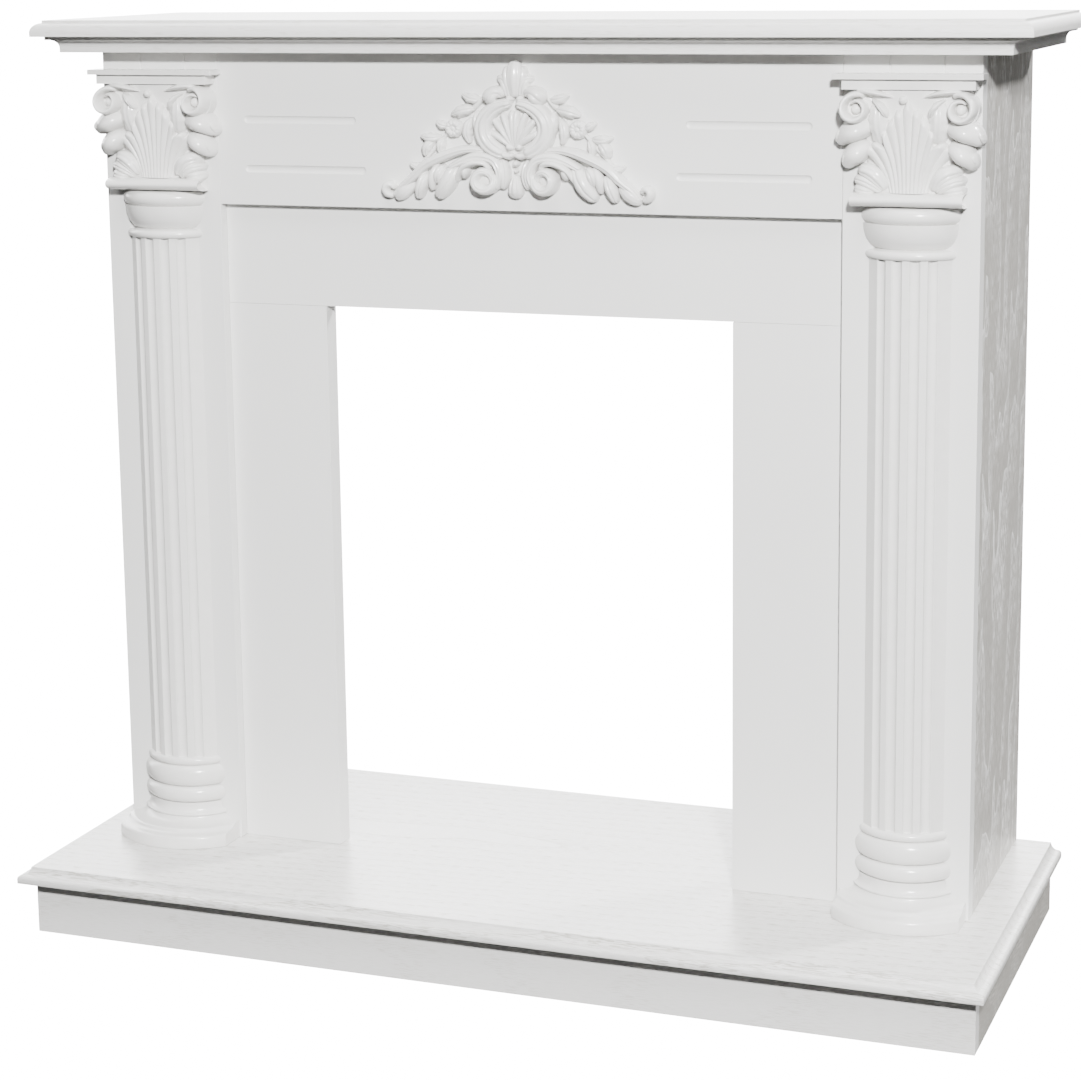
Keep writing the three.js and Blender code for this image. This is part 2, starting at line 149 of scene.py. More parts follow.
def mesh_object(name, shells, sharp=35):
    """Object at the origin from shells in millimetres. Points that coincide are merged, all faces are
    turned outwards, and edges bent by more than the angle sharp stay sharp."""
    counts = np.cumsum([0] + [len(points) for points, _ in shells])
    points = np.concatenate([points for points, _ in shells]) * MM
    faces = np.concatenate([quads + start for (_, quads), start in zip(shells, counts)])
    mesh = bpy.data.meshes.new(name)
    mesh.vertices.add(len(points))
    mesh.vertices.foreach_set("co", points.astype(np.float32).ravel())
    mesh.loops.add(faces.size)
    mesh.loops.foreach_set("vertex_index", faces.astype(np.int32).ravel())
    mesh.polygons.add(len(faces))
    mesh.polygons.foreach_set("loop_start", np.arange(0, faces.size, 4, dtype=np.int32))
    mesh.update(calc_edges=True)
    clean = bmesh.new()
    clean.from_mesh(mesh)
    bmesh.ops.remove_doubles(clean, verts=clean.verts, dist=1e-6)
    bmesh.ops.dissolve_degenerate(clean, edges=clean.edges, dist=1e-6)
    bmesh.ops.recalc_face_normals(clean, faces=clean.faces)
    clean.to_mesh(mesh)
    clean.free()
    mesh.polygons.foreach_set("use_smooth", np.ones(len(mesh.polygons), bool))
    mesh.set_sharp_from_angle(angle=math.radians(sharp))
    made = bpy.data.objects.new(name, mesh)
    bpy.context.scene.collection.objects.link(made)
    print(name, "has", len(mesh.polygons), "faces")
    return made


def stand_for(made, material, slot, *replaced):
    """Gives a finished piece its material, hangs it under the root body and hides the measured pieces it
    replaces.
    """
    made.data.materials.clear()
    made.data.materials.append(material)
    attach(made, "root")
    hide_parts(*replaced)


# %% [markdown]
# ## Materials
#
# One small function adds a node with its settings and links, and another turns the hex colour of a paint
# card into the linear colour that the shader expects. A pattern's scale is one over its real size, because
# Object coordinates are in metres.

# %% Colours and nodes
LACQUER_IOR = 1.5


def paint(code):
    """Linear RGBA of an sRGB hex colour: each channel c is c / 12.92, or ((c + 0.055) / 1.055) ^ 2.4."""
    value = np.array([int(code[i:i + 2], 16) for i in (1, 3, 5)]) / 255
    linear = np.where(value <= 0.04045, value / 12.92, ((value + 0.055) / 1.055) ** 2.4)
    return (*linear, 1.0)


def add_node(tree, kind, settings=None, **inputs):
    """Adds a node. Settings are its properties, and each input is a number, a colour or a socket to link,
    named by its socket in lower case with _ for a space, or by its number as in input_0."""
    node = tree.nodes.new(kind)
    for key, value in (settings or {}).items():
        setattr(node, key, value)
    sockets = {s.name.lower().replace(" ", "_"): s for s in reversed(node.inputs)}
    for key, value in inputs.items():
        socket = node.inputs[int(key[6:])] if key.startswith("input_") else sockets[key]
        if isinstance(value, bpy.types.NodeSocket):
            tree.links.new(value, socket)
        else:
            socket.default_value = value
    return node


def soft_step(tree, value, start, stop, low=0.0, high=1.0):
    """Socket that goes smoothly from low to high while value goes from start to stop."""
    step = add_node(tree, "ShaderNodeMapRange", {"interpolation_type": "SMOOTHSTEP"}, value=value,
                    from_min=start, from_max=stop, to_min=low, to_max=high)
    return step.outputs["Result"]


def new_material(name, colour, roughness):
    """Material with one principled shader, and the sockets that its patterns need."""
    material = bpy.data.materials.new(name)
    material.use_nodes = True
    tree = material.node_tree
    shader = tree.nodes["Principled BSDF"]
    shader.inputs["Base Color"].default_value = colour
    shader.inputs["Roughness"].default_value = roughness
    shader.inputs["IOR"].default_value = LACQUER_IOR
    place = add_node(tree, "ShaderNodeTexCoord").outputs["Object"]
    return material, tree, shader, place


# %% [markdown]
# The fronts are fibreboard sprayed with satin white lacquer. To the eye that is a clean, slightly soft
# white with broad highlights. Spraying leaves a fine unevenness, some millimetres across and only hundredths
# of a millimetre high, which breaks up reflections without showing as a texture.

# %% Satin lacquer on smooth board
SPRAY_GRAIN = 9.0
SPRAY_CLOUD = 160.0


def satin_lacquer():
    """Smooth white lacquer: two near whites drift into each other, and a fine bump breaks up reflections."""
    material, tree, shader, place = new_material("satin_lacquer_on_board", paint("#e9e8e6"), 0.38)
    spray = add_node(tree, "ShaderNodeTexNoise", scale=1 / (SPRAY_GRAIN * MM), detail=3.0, vector=place)
    cloud = add_node(tree, "ShaderNodeTexNoise", scale=1 / (SPRAY_CLOUD * MM), detail=2.0, vector=place)
    tint = add_node(tree, "ShaderNodeMix", {"data_type": "RGBA"}, factor=cloud.outputs["Fac"],
                    input_6=paint("#e6e5e3"), input_7=paint("#ebebe9"))
    tree.links.new(tint.outputs[2], shader.inputs["Base Color"])
    skin = add_node(tree, "ShaderNodeBump", strength=0.25, distance=0.05 * MM, height=spray.outputs["Fac"])
    tree.links.new(skin.outputs["Normal"], shader.inputs["Normal"])
    return material


SATIN = satin_lacquer()
print("made", SATIN.name)

# %% [markdown]
# The hearth, the plinth, the sides, the cornice and the shelf are veneered in oak and lacquered with the
# pores left open. The eye sees short dashes along the grain, crowded in the spring wood of each year ring and
# nearly absent between, and where the veneer was cut beside the heart the rings close in long arches. So the
# ring pattern is the distance to a tree's axis that lies at a small angle to the board, and it decides where
# stretched noise may open a pore. Real pores are about 0.3 mm wide; they are drawn 1 mm wide here, because
# anything finer is lost between the pixels.
#
# The finish comes in two kinds. Hearth and mouldings are white with slightly darker pores. The sides turn
# away from the light, and their copy has a darker warm grey ground, partly the grey of limed oak and partly
# painted shade for that turning away, with white filler in the pores, so the dashes are the brightest thing
# on the board.

# %% Lacquer over open-pored oak
PORE_LENGTH = 15.0
PORE_WIDTH = 1.0
PORE_OPENS = (0.52, 0.57)
SPRING_WOOD = (0.75, 0.1)
RING_EDGE = 0.07
WARP_SCALE = (4.0, 14.0, 14.0)
WARP_REACH = 30.0
PORE_DEPTH = 0.1


def limed_oak(name, turned, ground, pores, heart=(0.0, 60.0, 45.0), tilt=(2.0, 3.2), ring=9.0, gloss=0.4,
              line=0.0):
    """Oak whose grain runs along X after the given turn in degrees, in the colours of its ground and pores.

    Heart is a point of the tree's axis in millimetres, tilt its angles to the grain in degrees. With d the
    distance to that axis, the place within a year ring is the fraction of d / ring, and line says how
    strongly the edge of each ring is drawn.
    """
    material, tree, shader, place = new_material(name, paint(ground), gloss)
    board = add_node(tree, "ShaderNodeMapping", vector=place,
                     rotation=[math.radians(a) for a in turned]).outputs["Vector"]
    coarse = add_node(tree, "ShaderNodeMapping", vector=board, scale=WARP_SCALE).outputs["Vector"]
    warp = add_node(tree, "ShaderNodeTexNoise", scale=1.0, detail=2.0, vector=coarse)
    push = add_node(tree, "ShaderNodeVectorMath", {"operation": "MULTIPLY_ADD"},
                    input_0=warp.outputs["Color"], input_1=(0.0, WARP_REACH * MM, WARP_REACH * MM),
                    input_2=board).outputs["Vector"]
    trunk = add_node(tree, "ShaderNodeMapping", {"vector_type": "TEXTURE"}, vector=push,
                     location=[v * MM for v in heart],
                     rotation=(0.0, math.radians(tilt[0]), math.radians(tilt[1]))).outputs["Vector"]
    flat = add_node(tree, "ShaderNodeVectorMath", {"operation": "MULTIPLY"}, input_0=trunk,
                    input_1=(0.0, 1.0, 1.0)).outputs["Vector"]
    away = add_node(tree, "ShaderNodeVectorMath", {"operation": "LENGTH"}, input_0=flat).outputs["Value"]
    rings = add_node(tree, "ShaderNodeMath", {"operation": "DIVIDE"}, input_0=away, input_1=ring * MM)
    year = add_node(tree, "ShaderNodeMath", {"operation": "FRACT"}, input_0=rings.outputs[0]).outputs[0]
    spring = soft_step(tree, year, *SPRING_WOOD, low=0.3)
    thin = 1 / (PORE_WIDTH * MM)
    stretched = add_node(tree, "ShaderNodeMapping", vector=board, scale=(1 / (PORE_LENGTH * MM), thin, thin))
    cells = add_node(tree, "ShaderNodeTexNoise", scale=1.0, detail=1.0, vector=stretched.outputs["Vector"])
    open_pore = soft_step(tree, cells.outputs["Fac"], *PORE_OPENS)
    edge = soft_step(tree, year, RING_EDGE, 0.0, high=line)
    pore = add_node(tree, "ShaderNodeMath", {"operation": "MULTIPLY_ADD", "use_clamp": True},
                    input_0=open_pore, input_1=spring, input_2=edge).outputs[0]
    tint = add_node(tree, "ShaderNodeMix", {"data_type": "RGBA"}, factor=pore, input_6=paint(ground),
                    input_7=paint(pores))
    tree.links.new(tint.outputs[2], shader.inputs["Base Color"])
    groove = add_node(tree, "ShaderNodeBump", {"invert": True}, strength=0.5, distance=PORE_DEPTH * MM,
                      height=pore)
    tree.links.new(groove.outputs["Normal"], shader.inputs["Normal"])
    return material


OAK_LONG = limed_oak("white_open_pored_oak_lengthways", (0, 0, 0), "#e4e3e1", "#b9b6af",
                     gloss=0.3, ring=16.0, line=0.6)
OAK_SMOOTH = limed_oak("white_filled_oak_mouldings", (0, 0, 0), "#e6e5e3", "#d9d7d3", gloss=0.35)
# The two grey copies below are darker than the front oak: partly limed grey, partly painted shade for the
# sides that face away from the light.
OAK_UPRIGHT_GREY_AND_SHADE = limed_oak("limed_grey_oak_upright", (0, 90, 0), "#aba8a2", "#fbfaf8",
                        heart=(500.0, 40.0, 470.0), ring=8.0, line=0.6)
OAK_DEEP_GREY_AND_SHADE = limed_oak("limed_grey_oak_crossways", (0, 0, 90), "#a9a6a0", "#cfccc6")
print("made", OAK_LONG.name, OAK_SMOOTH.name, OAK_UPRIGHT_GREY_AND_SHADE.name, OAK_DEEP_GREY_AND_SHADE.name)

# %% [markdown]
# The columns and the ornament are polyurethane resin, cast in a rubber mould and painted satin white. The
# mould keeps the carver's soft edges, and the paint gathers a little in the hollows, so the surface is a
# shade darker than the boards, a bit glossier and never quite even.

# %% Cast resin, painted satin white
PAINT_WAVE = 14.0


def painted_casting():
    """Painted resin: one wavy noise tints the paint and lifts it, so both gather in the same places."""
    material, tree, shader, place = new_material("painted_cast_resin", paint("#e6e5e2"), 0.22)
    waves = add_node(tree, "ShaderNodeTexNoise", scale=1 / (PAINT_WAVE * MM), detail=3.0, roughness=0.55,
                     vector=place)
    tint = add_node(tree, "ShaderNodeMix", {"data_type": "RGBA"}, factor=waves.outputs["Fac"],
                    input_6=paint("#e1e0dd"), input_7=paint("#ebeae8"))
    tree.links.new(tint.outputs[2], shader.inputs["Base Color"])
    skin = add_node(tree, "ShaderNodeBump", strength=0.2, distance=0.15 * MM, height=waves.outputs["Fac"])
    tree.links.new(skin.outputs["Normal"], shader.inputs["Normal"])
    return material


CASTING = painted_casting()
print("made", CASTING.name)

# %% [markdown]
# ## The plain boards
#
# Pilasters, panels, header, plinth boards and the flat steps of the abacus are right as measured. They get
# a material, and two modifiers that leave their mesh alone: Weld joins the loose triangles, and Bevel eases
# each arris by half a millimetre, as sanding before the lacquer does. Without it no edge would catch light.

# %% Finish the measured boards
EASED = 0.5
EASED_ROUTED = 0.3
SHARPER_THAN = 40.0

BOARD_FINISH = {"header_panel": SATIN, "plinth_front": OAK_SMOOTH, "plinth_back": OAK_SMOOTH}
# Side panels and side plinth boards get the grey copies, whose darker ground is partly painted shade.
PAIR_FINISH = {"pilaster_": SATIN, "inner_panel_": SATIN, "abacus_": CASTING, "side_panel_": OAK_UPRIGHT_GREY_AND_SHADE,
               "plinth_": OAK_DEEP_GREY_AND_SHADE}
for side in SIDES:
    BOARD_FINISH.update({board + side: finish for board, finish in PAIR_FINISH.items()})


def ease_arrises(board, width):
    """Eases each edge sharper than the given angle by so many millimetres."""
    ease = board.modifiers.new("eased arris", "BEVEL")
    ease.width = width * MM
    ease.segments = 2
    ease.limit_method = "ANGLE"
    ease.angle_limit = math.radians(SHARPER_THAN)


for node_name, finish in BOARD_FINISH.items():
    board = nodes[node_name]
    board.data.materials.clear()
    board.data.materials.append(finish)
    weld = board.modifiers.new("weld", "WELD")
    weld.merge_threshold = 0.01 * MM
    ease_arrises(board, EASED)
print("finished", len(BOARD_FINISH), "boards")

# %% [markdown]
# ## Boards with a moulding
#
# Hearth, cornice and shelf are each a board with a moulding routed along the front and both ends, mitred at
# the corners. The profile is a list of insets and heights. Each of its points becomes one ring round the
# board: the outline, set in by that much, with its two front corners barely rounded. Quarter circles get
# enough points to read as curves, and sharp points of the profile are cut by a tiny chamfer.

# %% Profiles and moulded boards


def arc(centre, radii, start, stop, steps):
    """Points of an ellipse about centre: c + r (cos a, sin a), for angles a from start to stop in degrees."""
    a = np.radians(np.linspace(start, stop, steps + 1))
    return np.column_stack([centre[0] + radii[0] * np.cos(a), centre[1] + radii[1] * np.sin(a)])


def eased(profile, cut=0.4, angle=35):
    """Profile with each corner sharper than angle replaced by two points, cut before and cut after it."""
    profile = np.asarray(profile, float)
    steps = np.diff(profile, axis=0)
    length = np.linalg.norm(steps, axis=1)
    ways = steps / length[:, None]
    bent = np.sum(ways[:-1] * ways[1:], axis=1) < math.cos(math.radians(angle))
    back = np.minimum(cut, 0.45 * length[:-1])[:, None]
    on = np.minimum(cut, 0.45 * length[1:])[:, None]
    middle = profile[1:-1]
    pairs = np.stack([middle - ways[:-1] * back, middle + ways[1:] * on], 1)
    kept = np.where(bent[:, None, None], pairs, middle[:, None, :]).reshape(-1, 2)
    keep = np.column_stack([np.ones(len(bent), bool), bent]).ravel()
    return np.vstack([profile[:1], kept[keep], profile[-1:]])


def moulded_board(half, front, back, profile, corner=1.2):
    """Shell of a board. Ring i is the outline set in by profile[i, 0] at height profile[i, 1]; its front
    corners are quarter circles of radius corner."""
    inset, level = profile[:, 0, None], profile[:, 1, None]
    left = np.radians(np.linspace(180, 270, 5))
    right = np.radians(np.linspace(270, 360, 5))
    x = np.hstack([
        inset - half,
        inset - half + corner * (1 + np.cos(left)),
        half - inset - corner * (1 - np.cos(right)),
        half - inset,
    ])
    y = np.hstack([
        np.full_like(inset, back),
        front + inset + corner * (1 + np.sin(left)),
        front + inset + corner * (1 + np.sin(right)),
        np.full_like(inset, back),
    ])
    return shell(np.stack([x, y, np.broadcast_to(level, x.shape)], -1))


# %% [markdown]
# The hearth slab has a small bead at the bottom and a cove that runs up to its top. The cornice is the
# other way round, a cove under a plain fillet, and the shelf over it ends in an ovolo, a quarter round
# under a narrow fillet. Each is drawn from the bottom up.

# %% Hearth, cornice and shelf
HEARTH_COVE = 8.4
HEARTH_BEAD = 3.6
CORNICE_FILLET = 3.6
CORNICE_LEDGE = 3.0
CORNICE_COVE = 9.0
SHELF_OVOLO = 10.5
SHELF_FILLET = 3.0


def hearth_profile(bottom, top):
    """A flat edge, a bead on it, and a cove from the bead to the top."""
    bead = top - HEARTH_COVE - HEARTH_BEAD
    return eased([
        [HEARTH_BEAD, bottom],
        [0.6, bottom],
        [0, bottom + 0.6],
        *arc((HEARTH_BEAD, bead), (HEARTH_BEAD, HEARTH_BEAD), 180, 90, 8),
        *arc((HEARTH_BEAD, top), (HEARTH_COVE, HEARTH_COVE), -78, 0, 14),
        [HEARTH_BEAD + HEARTH_COVE + 2, top],
    ])


def cornice_profile(bottom, top):
    """A cove that spreads upwards to a small ledge, and a plain fillet over it."""
    cove = top - CORNICE_FILLET
    return eased([
        [CORNICE_LEDGE + CORNICE_COVE + 2, bottom],
        [CORNICE_LEDGE + CORNICE_COVE, bottom],
        *arc((CORNICE_LEDGE, cove - CORNICE_COVE), (CORNICE_COVE, CORNICE_COVE), 0, 90, 14),
        [0, cove],
        [0, top],
        [2, top],
    ])


def shelf_profile(bottom, top):
    """An upright nose, an ovolo on it and a narrow fillet at the top."""
    nose = top - SHELF_FILLET - SHELF_OVOLO
    return eased([
        [2, bottom],
        [0, bottom],
        *arc((SHELF_OVOLO, nose), (SHELF_OVOLO, SHELF_OVOLO), 180, 90, 16),
        [SHELF_OVOLO, top],
        [SHELF_OVOLO + 2, top],
    ])


for node_name, profile_of in [("hearth_slab", hearth_profile), ("cornice", cornice_profile),
                              ("mantel_shelf", shelf_profile)]:
    low, high = box_mm(node_name)
    slab = moulded_board(high[0], low[1], WALL, profile_of(low[2], high[2]))
    made = mesh_object(node_name + "_moulded", [slab])
    stand_for(made, OAK_LONG if node_name == "hearth_slab" else OAK_SMOOTH, "limed_wood", node_name)

# %% [markdown]
# ## The frieze
#
# Four routed lines with round ends run across the frieze. The cutter was a round-nosed one, so each line is
# a shallow trough. A Boolean takes four long capsules out of a plain board, and the result is kept as an
# ordinary mesh, so that nothing is left over in the scene but the board.

# %% Frieze with its routed lines
GROOVE_WIDTH = 8.4
GROOVE_DEPTH = 2.4
GROOVE_EDGE = 32.0
GROOVES = [{"length": 136.0, "drop": 74.5}, {"length": 147.0, "drop": 129.0}]


def block(low, high):
    """Shell of a plain board between two corners."""
    x = np.array([low[0], high[0], high[0], low[0]])
    y = np.array([low[1], low[1], high[1], high[1]])
    rings = [np.column_stack([x, y, np.full(4, z)]) for z in (low[2], high[2])]
    return shell(np.array(rings))


def trough(x0, x1, z):
    """Shell of a capsule along X whose section is an ellipse as wide as the line and twice as deep: the
    radius at a distance d inside its end is sqrt(1 - (1 - d / r)^2) for d below r, and 1 beyond."""
    r = GROOVE_WIDTH / 2
    turn = np.radians(np.linspace(4, 90, 12))
    x = np.concatenate([x0 + r - r * np.cos(turn), x1 - r + r * np.cos(turn[::-1])])[:, None]
    size = np.concatenate([np.sin(turn), np.sin(turn[::-1])])[:, None]
    a = np.radians(np.arange(0, 360, 10))[None, :]
    points = [np.broadcast_to(x, size.shape[:1] + a.shape[1:]), FACE + GROOVE_DEPTH * size * np.cos(a),
              z + r * size * np.sin(a)]
    return shell(np.stack(points, -1))


def frieze():
    """Board with the routed lines cut out of it. A drop is measured from the top of the body, and a line
    runs inwards from so far within the frieze's end."""
    low, high = box_mm("frieze_panel")
    top = box_mm("pilaster_left")[1][2] + JOINT
    made = mesh_object("frieze_routed", [block(low, high)])
    lines = []
    for groove in GROOVES:
        for side in SIDES.values():
            start = side * (high[0] - GROOVE_EDGE)
            ends = sorted([start, start - side * groove["length"]])
            lines.append(trough(*ends, top - groove["drop"]))
    cutter = mesh_object("line_cutter", lines)
    cut = made.modifiers.new("cut", "BOOLEAN")
    cut.operation = "DIFFERENCE"
    cut.solver = "EXACT"
    cut.object = cutter
    ready = made.evaluated_get(bpy.context.evaluated_depsgraph_get())
    routed = bpy.data.meshes.new_from_object(ready)
    made.modifiers.clear()
    made.data = routed
    routed.polygons.foreach_set("use_smooth", np.ones(len(routed.polygons), bool))
    routed.set_sharp_from_angle(angle=math.radians(35))
    bpy.data.objects.remove(cutter)
    ease_arrises(made, EASED_ROUTED)
    return made


stand_for(frieze(), SATIN, "satin_paint", "frieze_panel")

# %% [markdown]
# ## The half columns
#
# Each column is a little more than a third of a turned one, planted on the pilaster. Its axis lies 30 mm
# behind the face, so a ring of radius r leaves the face at the angle acos(30 / r). The foot is wider than
# the pilaster allows and was sawn straight at both sides. On a polar grid both cuts are simple: the angle
# stops where the ring meets the face, and the radius is held back where it would pass the saw cut.

# %% Turned pieces that end on the pilaster face
AXIS_BEHIND = 30.0


def radius_for(half_width):
    """Radius of the ring that has the given half width where it meets the face."""
    return math.hypot(half_width, AXIS_BEHIND)


def turned(profile, centre, sawn, fine=40, coarse=5):
    """Shell of a turned piece in front of the face.

    At radius r the angle a runs to the face, A = min(acos(b / r), atan(w / b)), with b the axis behind the
    seat and w the sawn half width. Up to S = min(asin(w / r), A) the point is at radius r, and from S to A
    it lies on the saw cut, at radius w / sin a.
    """
    r, z = profile[:, 0, None], profile[:, 1, None]
    behind = AXIS_BEHIND + JOINT
    stop = np.minimum(np.arccos(np.minimum(behind / r, 1)), math.atan2(sawn, behind))
    saw = np.minimum(np.arcsin(np.minimum(sawn / r, 1)), stop)
    along = np.linspace(0, 1, fine + 1)
    across = np.linspace(0, 1, coarse + 1)[1:]
    half = np.hstack([saw * along, saw + (stop - saw) * across])
    a = np.hstack([-half[:, :0:-1], half])
    reach = np.minimum(r, sawn / np.maximum(np.abs(np.sin(a)), 1e-9))
    return shell(np.stack([
        centre + reach * np.sin(a),
        FACE + AXIS_BEHIND - reach * np.cos(a),
        np.broadcast_to(z, a.shape),
    ], -1))


def torus(ring, bottom, steps=16):
    """Profile of a convex ring: half an ellipse, as high as the ring and bulging by its bulge."""
    height, half_width, bulge = ring
    return arc((radius_for(half_width) - bulge, bottom + height / 2), (bulge, height / 2), -90, 90, steps)


# %% [markdown]
# The foot starts with an upright rim, steps in over a small cove and sweeps up in a deep hollow to a bead
# and a short neck under the column. Its profile is given in shares of the flare and of the height.

# %% Column feet
FOOT_HALF_WIDTH = 68.5
FOOT_REACH = 65.0
FOOT_WAIST = 47.0
COLUMN_X = {side: sign * 428.5 for side, sign in SIDES.items()}


def foot_profile(bottom, top):
    """Profile of the foot. A share of 0 across is the waist and 1 the rim."""
    waist, rim = radius_for(FOOT_WAIST), AXIS_BEHIND + FOOT_REACH
    base = [[0.985, 0], [1, 0.03], [1, 0.28], [0.96, 0.335], [0.87, 0.345]]
    lower_cove = arc((0.84, 0.44), (0.18, 0.09), 270, 190, 8)
    upper_cove = arc((0.58, 0.67), (0.46, 0.20), 268, 185, 14)
    bead = arc((0.08, 0.70), (0.065, 0.045), -90, 90, 8)
    neck = arc((0.10, 0.95), (0.095, 0.20), 260, 185, 8)
    shares = np.vstack([base, lower_cove, [[0.64, 0.455], [0.60, 0.465]], upper_cove, bead, neck, [[0, 1]]])
    outline = np.column_stack([waist + (rim - waist) * shares[:, 0], bottom + (top - bottom) * shares[:, 1]])
    return eased(outline, cut=0.5, angle=28)


for side, x in COLUMN_X.items():
    node_name = "column_foot_" + side
    low, high = box_mm(node_name)
    made = mesh_object(node_name + "_turned", [turned(foot_profile(low[2], high[2]), x, FOOT_HALF_WIDTH)])
    stand_for(made, CASTING, "cast_paint", node_name)

# %% [markdown]
# The shaft stands on two tori and an astragal, and ends in an astragal, a bell and a ring under the
# capital. Between them run four hollow flutes with flat fillets. The fluted part is one outline, seen from
# above, drawn straight up: rings need rows, flutes need columns, so the two are separate shells.

# %% Column shafts
SHAFT_HALF_WIDTH = 43.0
FLUTES = 4
FLUTE_WIDTH = 10.9
FLUTE_DEPTH = 4.0
FILLET = 8.0
LOWER_TORUS = (19.0, 52.0, 8.0)
UPPER_TORUS = (25.5, 52.0, 9.0)
ASTRAGAL = (9.0, 47.5, 4.0)
NECK_BELL = {"height": 27.5, "half_width": 50.0, "flare": 14.0}
NECK_RING = (16.5, 52.0, 7.0)


def fluted(centre, low, high):
    """Shell of the fluted shaft. At the angle a the radius is R less depth * sqrt(1 - t^2), where t runs
    from -1 to 1 across a flute, and R on the fillets. It is cut flat just in front of the face."""
    radius = radius_for(SHAFT_HALF_WIDTH)
    end = math.asin(SHAFT_HALF_WIDTH / radius)
    pitch = (FLUTE_WIDTH + FILLET) / radius
    middles = (np.arange(FLUTES) - (FLUTES - 1) / 2) * pitch
    t = -np.cos(np.linspace(0, np.pi, 15))
    a = (middles[:, None] + t[None, :] * FLUTE_WIDTH / radius / 2).ravel()
    r = radius - FLUTE_DEPTH * np.sqrt(1 - np.tile(t, FLUTES) ** 2)
    a = np.concatenate([[-end], a, [end]])
    r = np.concatenate([[radius], r, [radius]])
    y = np.minimum(FACE + AXIS_BEHIND - r * np.cos(a), FACE - JOINT)
    plan = eased(np.column_stack([centre + r * np.sin(a), y]), cut=0.5, angle=25)
    levels = np.array([low, (low + high) / 2, high])
    grid = np.broadcast_to(plan[None], (3,) + plan.shape)
    return shell(np.concatenate([grid, np.broadcast_to(levels[:, None, None], (3, len(plan), 1))], -1))


def shaft_shells(centre, bottom, top):
    """Base rings, neck with its bell, and the fluted part, which reaches 1 mm into both."""
    lower = bottom + LOWER_TORUS[0]
    upper = lower + UPPER_TORUS[0]
    base_top = upper + ASTRAGAL[0]
    ring = top - NECK_RING[0]
    bell = ring - NECK_BELL["height"]
    crown = bell - ASTRAGAL[0]
    widest = max(LOWER_TORUS[1], UPPER_TORUS[1], NECK_RING[1])
    flare = NECK_BELL["flare"]
    waist = radius_for(NECK_BELL["half_width"]) - flare
    sweep = arc((waist, ring), (flare, NECK_BELL["height"] - 1), -80, 0, 14)
    lower_rings = [torus(LOWER_TORUS, bottom), torus(UPPER_TORUS, lower)[1:], torus(ASTRAGAL, upper, 10)[1:]]
    upper_rings = [torus(ASTRAGAL, crown, 10), sweep, torus(NECK_RING, ring)[1:]]
    ends = [turned(np.vstack(rings), centre, widest) for rings in (lower_rings, upper_rings)]
    return ends + [fluted(centre, base_top - 1, crown + 1)]


for side, x in COLUMN_X.items():
    node_name = "column_shaft_" + side
    low, high = box_mm(node_name)
    made = mesh_object(node_name + "_fluted", shaft_shells(x, low[2], high[2]), sharp=30)
    stand_for(made, CASTING, "cast_paint", node_name)

# %% [markdown]
# ## Carving
#
# A carver of acanthus works in strokes: each leaf, stem or scroll is a ridge that swells and tapers along a
# curve, rounded over, with veins cut into its back. So one function makes any such ridge from a curve, three
# half widths and a height, and the capital and the ornament are lists of strokes in a maker's order. X runs
# across, Z up, and the third number is how far the stroke stands out from the face.

# %% Curves and ridges
SEAT = JOINT


def spaced(steps):
    """Values from 0 to 1 that lie closer together at both ends, where a stroke is rounded off."""
    u = np.linspace(0, 1, steps + 1)
    return 0.35 * u + 0.65 * (1 - np.cos(np.pi * u)) / 2


def bend(start, pull, end, steps=26):
    """Curve from start to end that is drawn towards pull: (1-t)^2 start + 2t(1-t) pull + t^2 end."""
    t = spaced(steps)[:, None]
    return (1 - t) ** 2 * np.array(start, float) + 2 * t * (1 - t) * np.array(pull) + t ** 2 * np.array(end)


def through(*stops, steps=44):
    """Smooth curve through the stops, one cubic between each two, whose slope at a stop is half the step
    from the stop before it to the stop after it."""
    p = np.array(stops, float)
    p = np.vstack([2 * p[0] - p[1], p, 2 * p[-1] - p[-2]])
    u = spaced(steps) * (len(stops) - 1)
    k = np.minimum(u.astype(int), len(stops) - 2)
    t = (u - k)[:, None]
    a, b, c, d = p[k], p[k + 1], p[k + 2], p[k + 3]
    return b + 0.5 * t * (c - a + t * (2 * a - 5 * b + 4 * c - d + t * (3 * b - a - 3 * c + d)))


def spiral(centre, radii, start, turns, steps=72):
    """Curve that winds about centre from the first radius to the second, from an angle in degrees through
    so many turns, clockwise where turns is negative."""
    u = spaced(steps)
    a = np.radians(start + 360 * turns * u)
    r = radii[0] + (radii[1] - radii[0]) * u
    return np.column_stack([centre[0] + r * np.cos(a), centre[1] + r * np.sin(a)])


def swell(values, s):
    """Number along a stroke: a(1-s)^2 + 4b s(1-s) + c s^2 for three values, or one value all along."""
    if np.isscalar(values):
        return np.full_like(s, values)
    a, b, c = values
    return a * (1 - s) ** 2 + 4 * b * s * (1 - s) + c * s ** 2


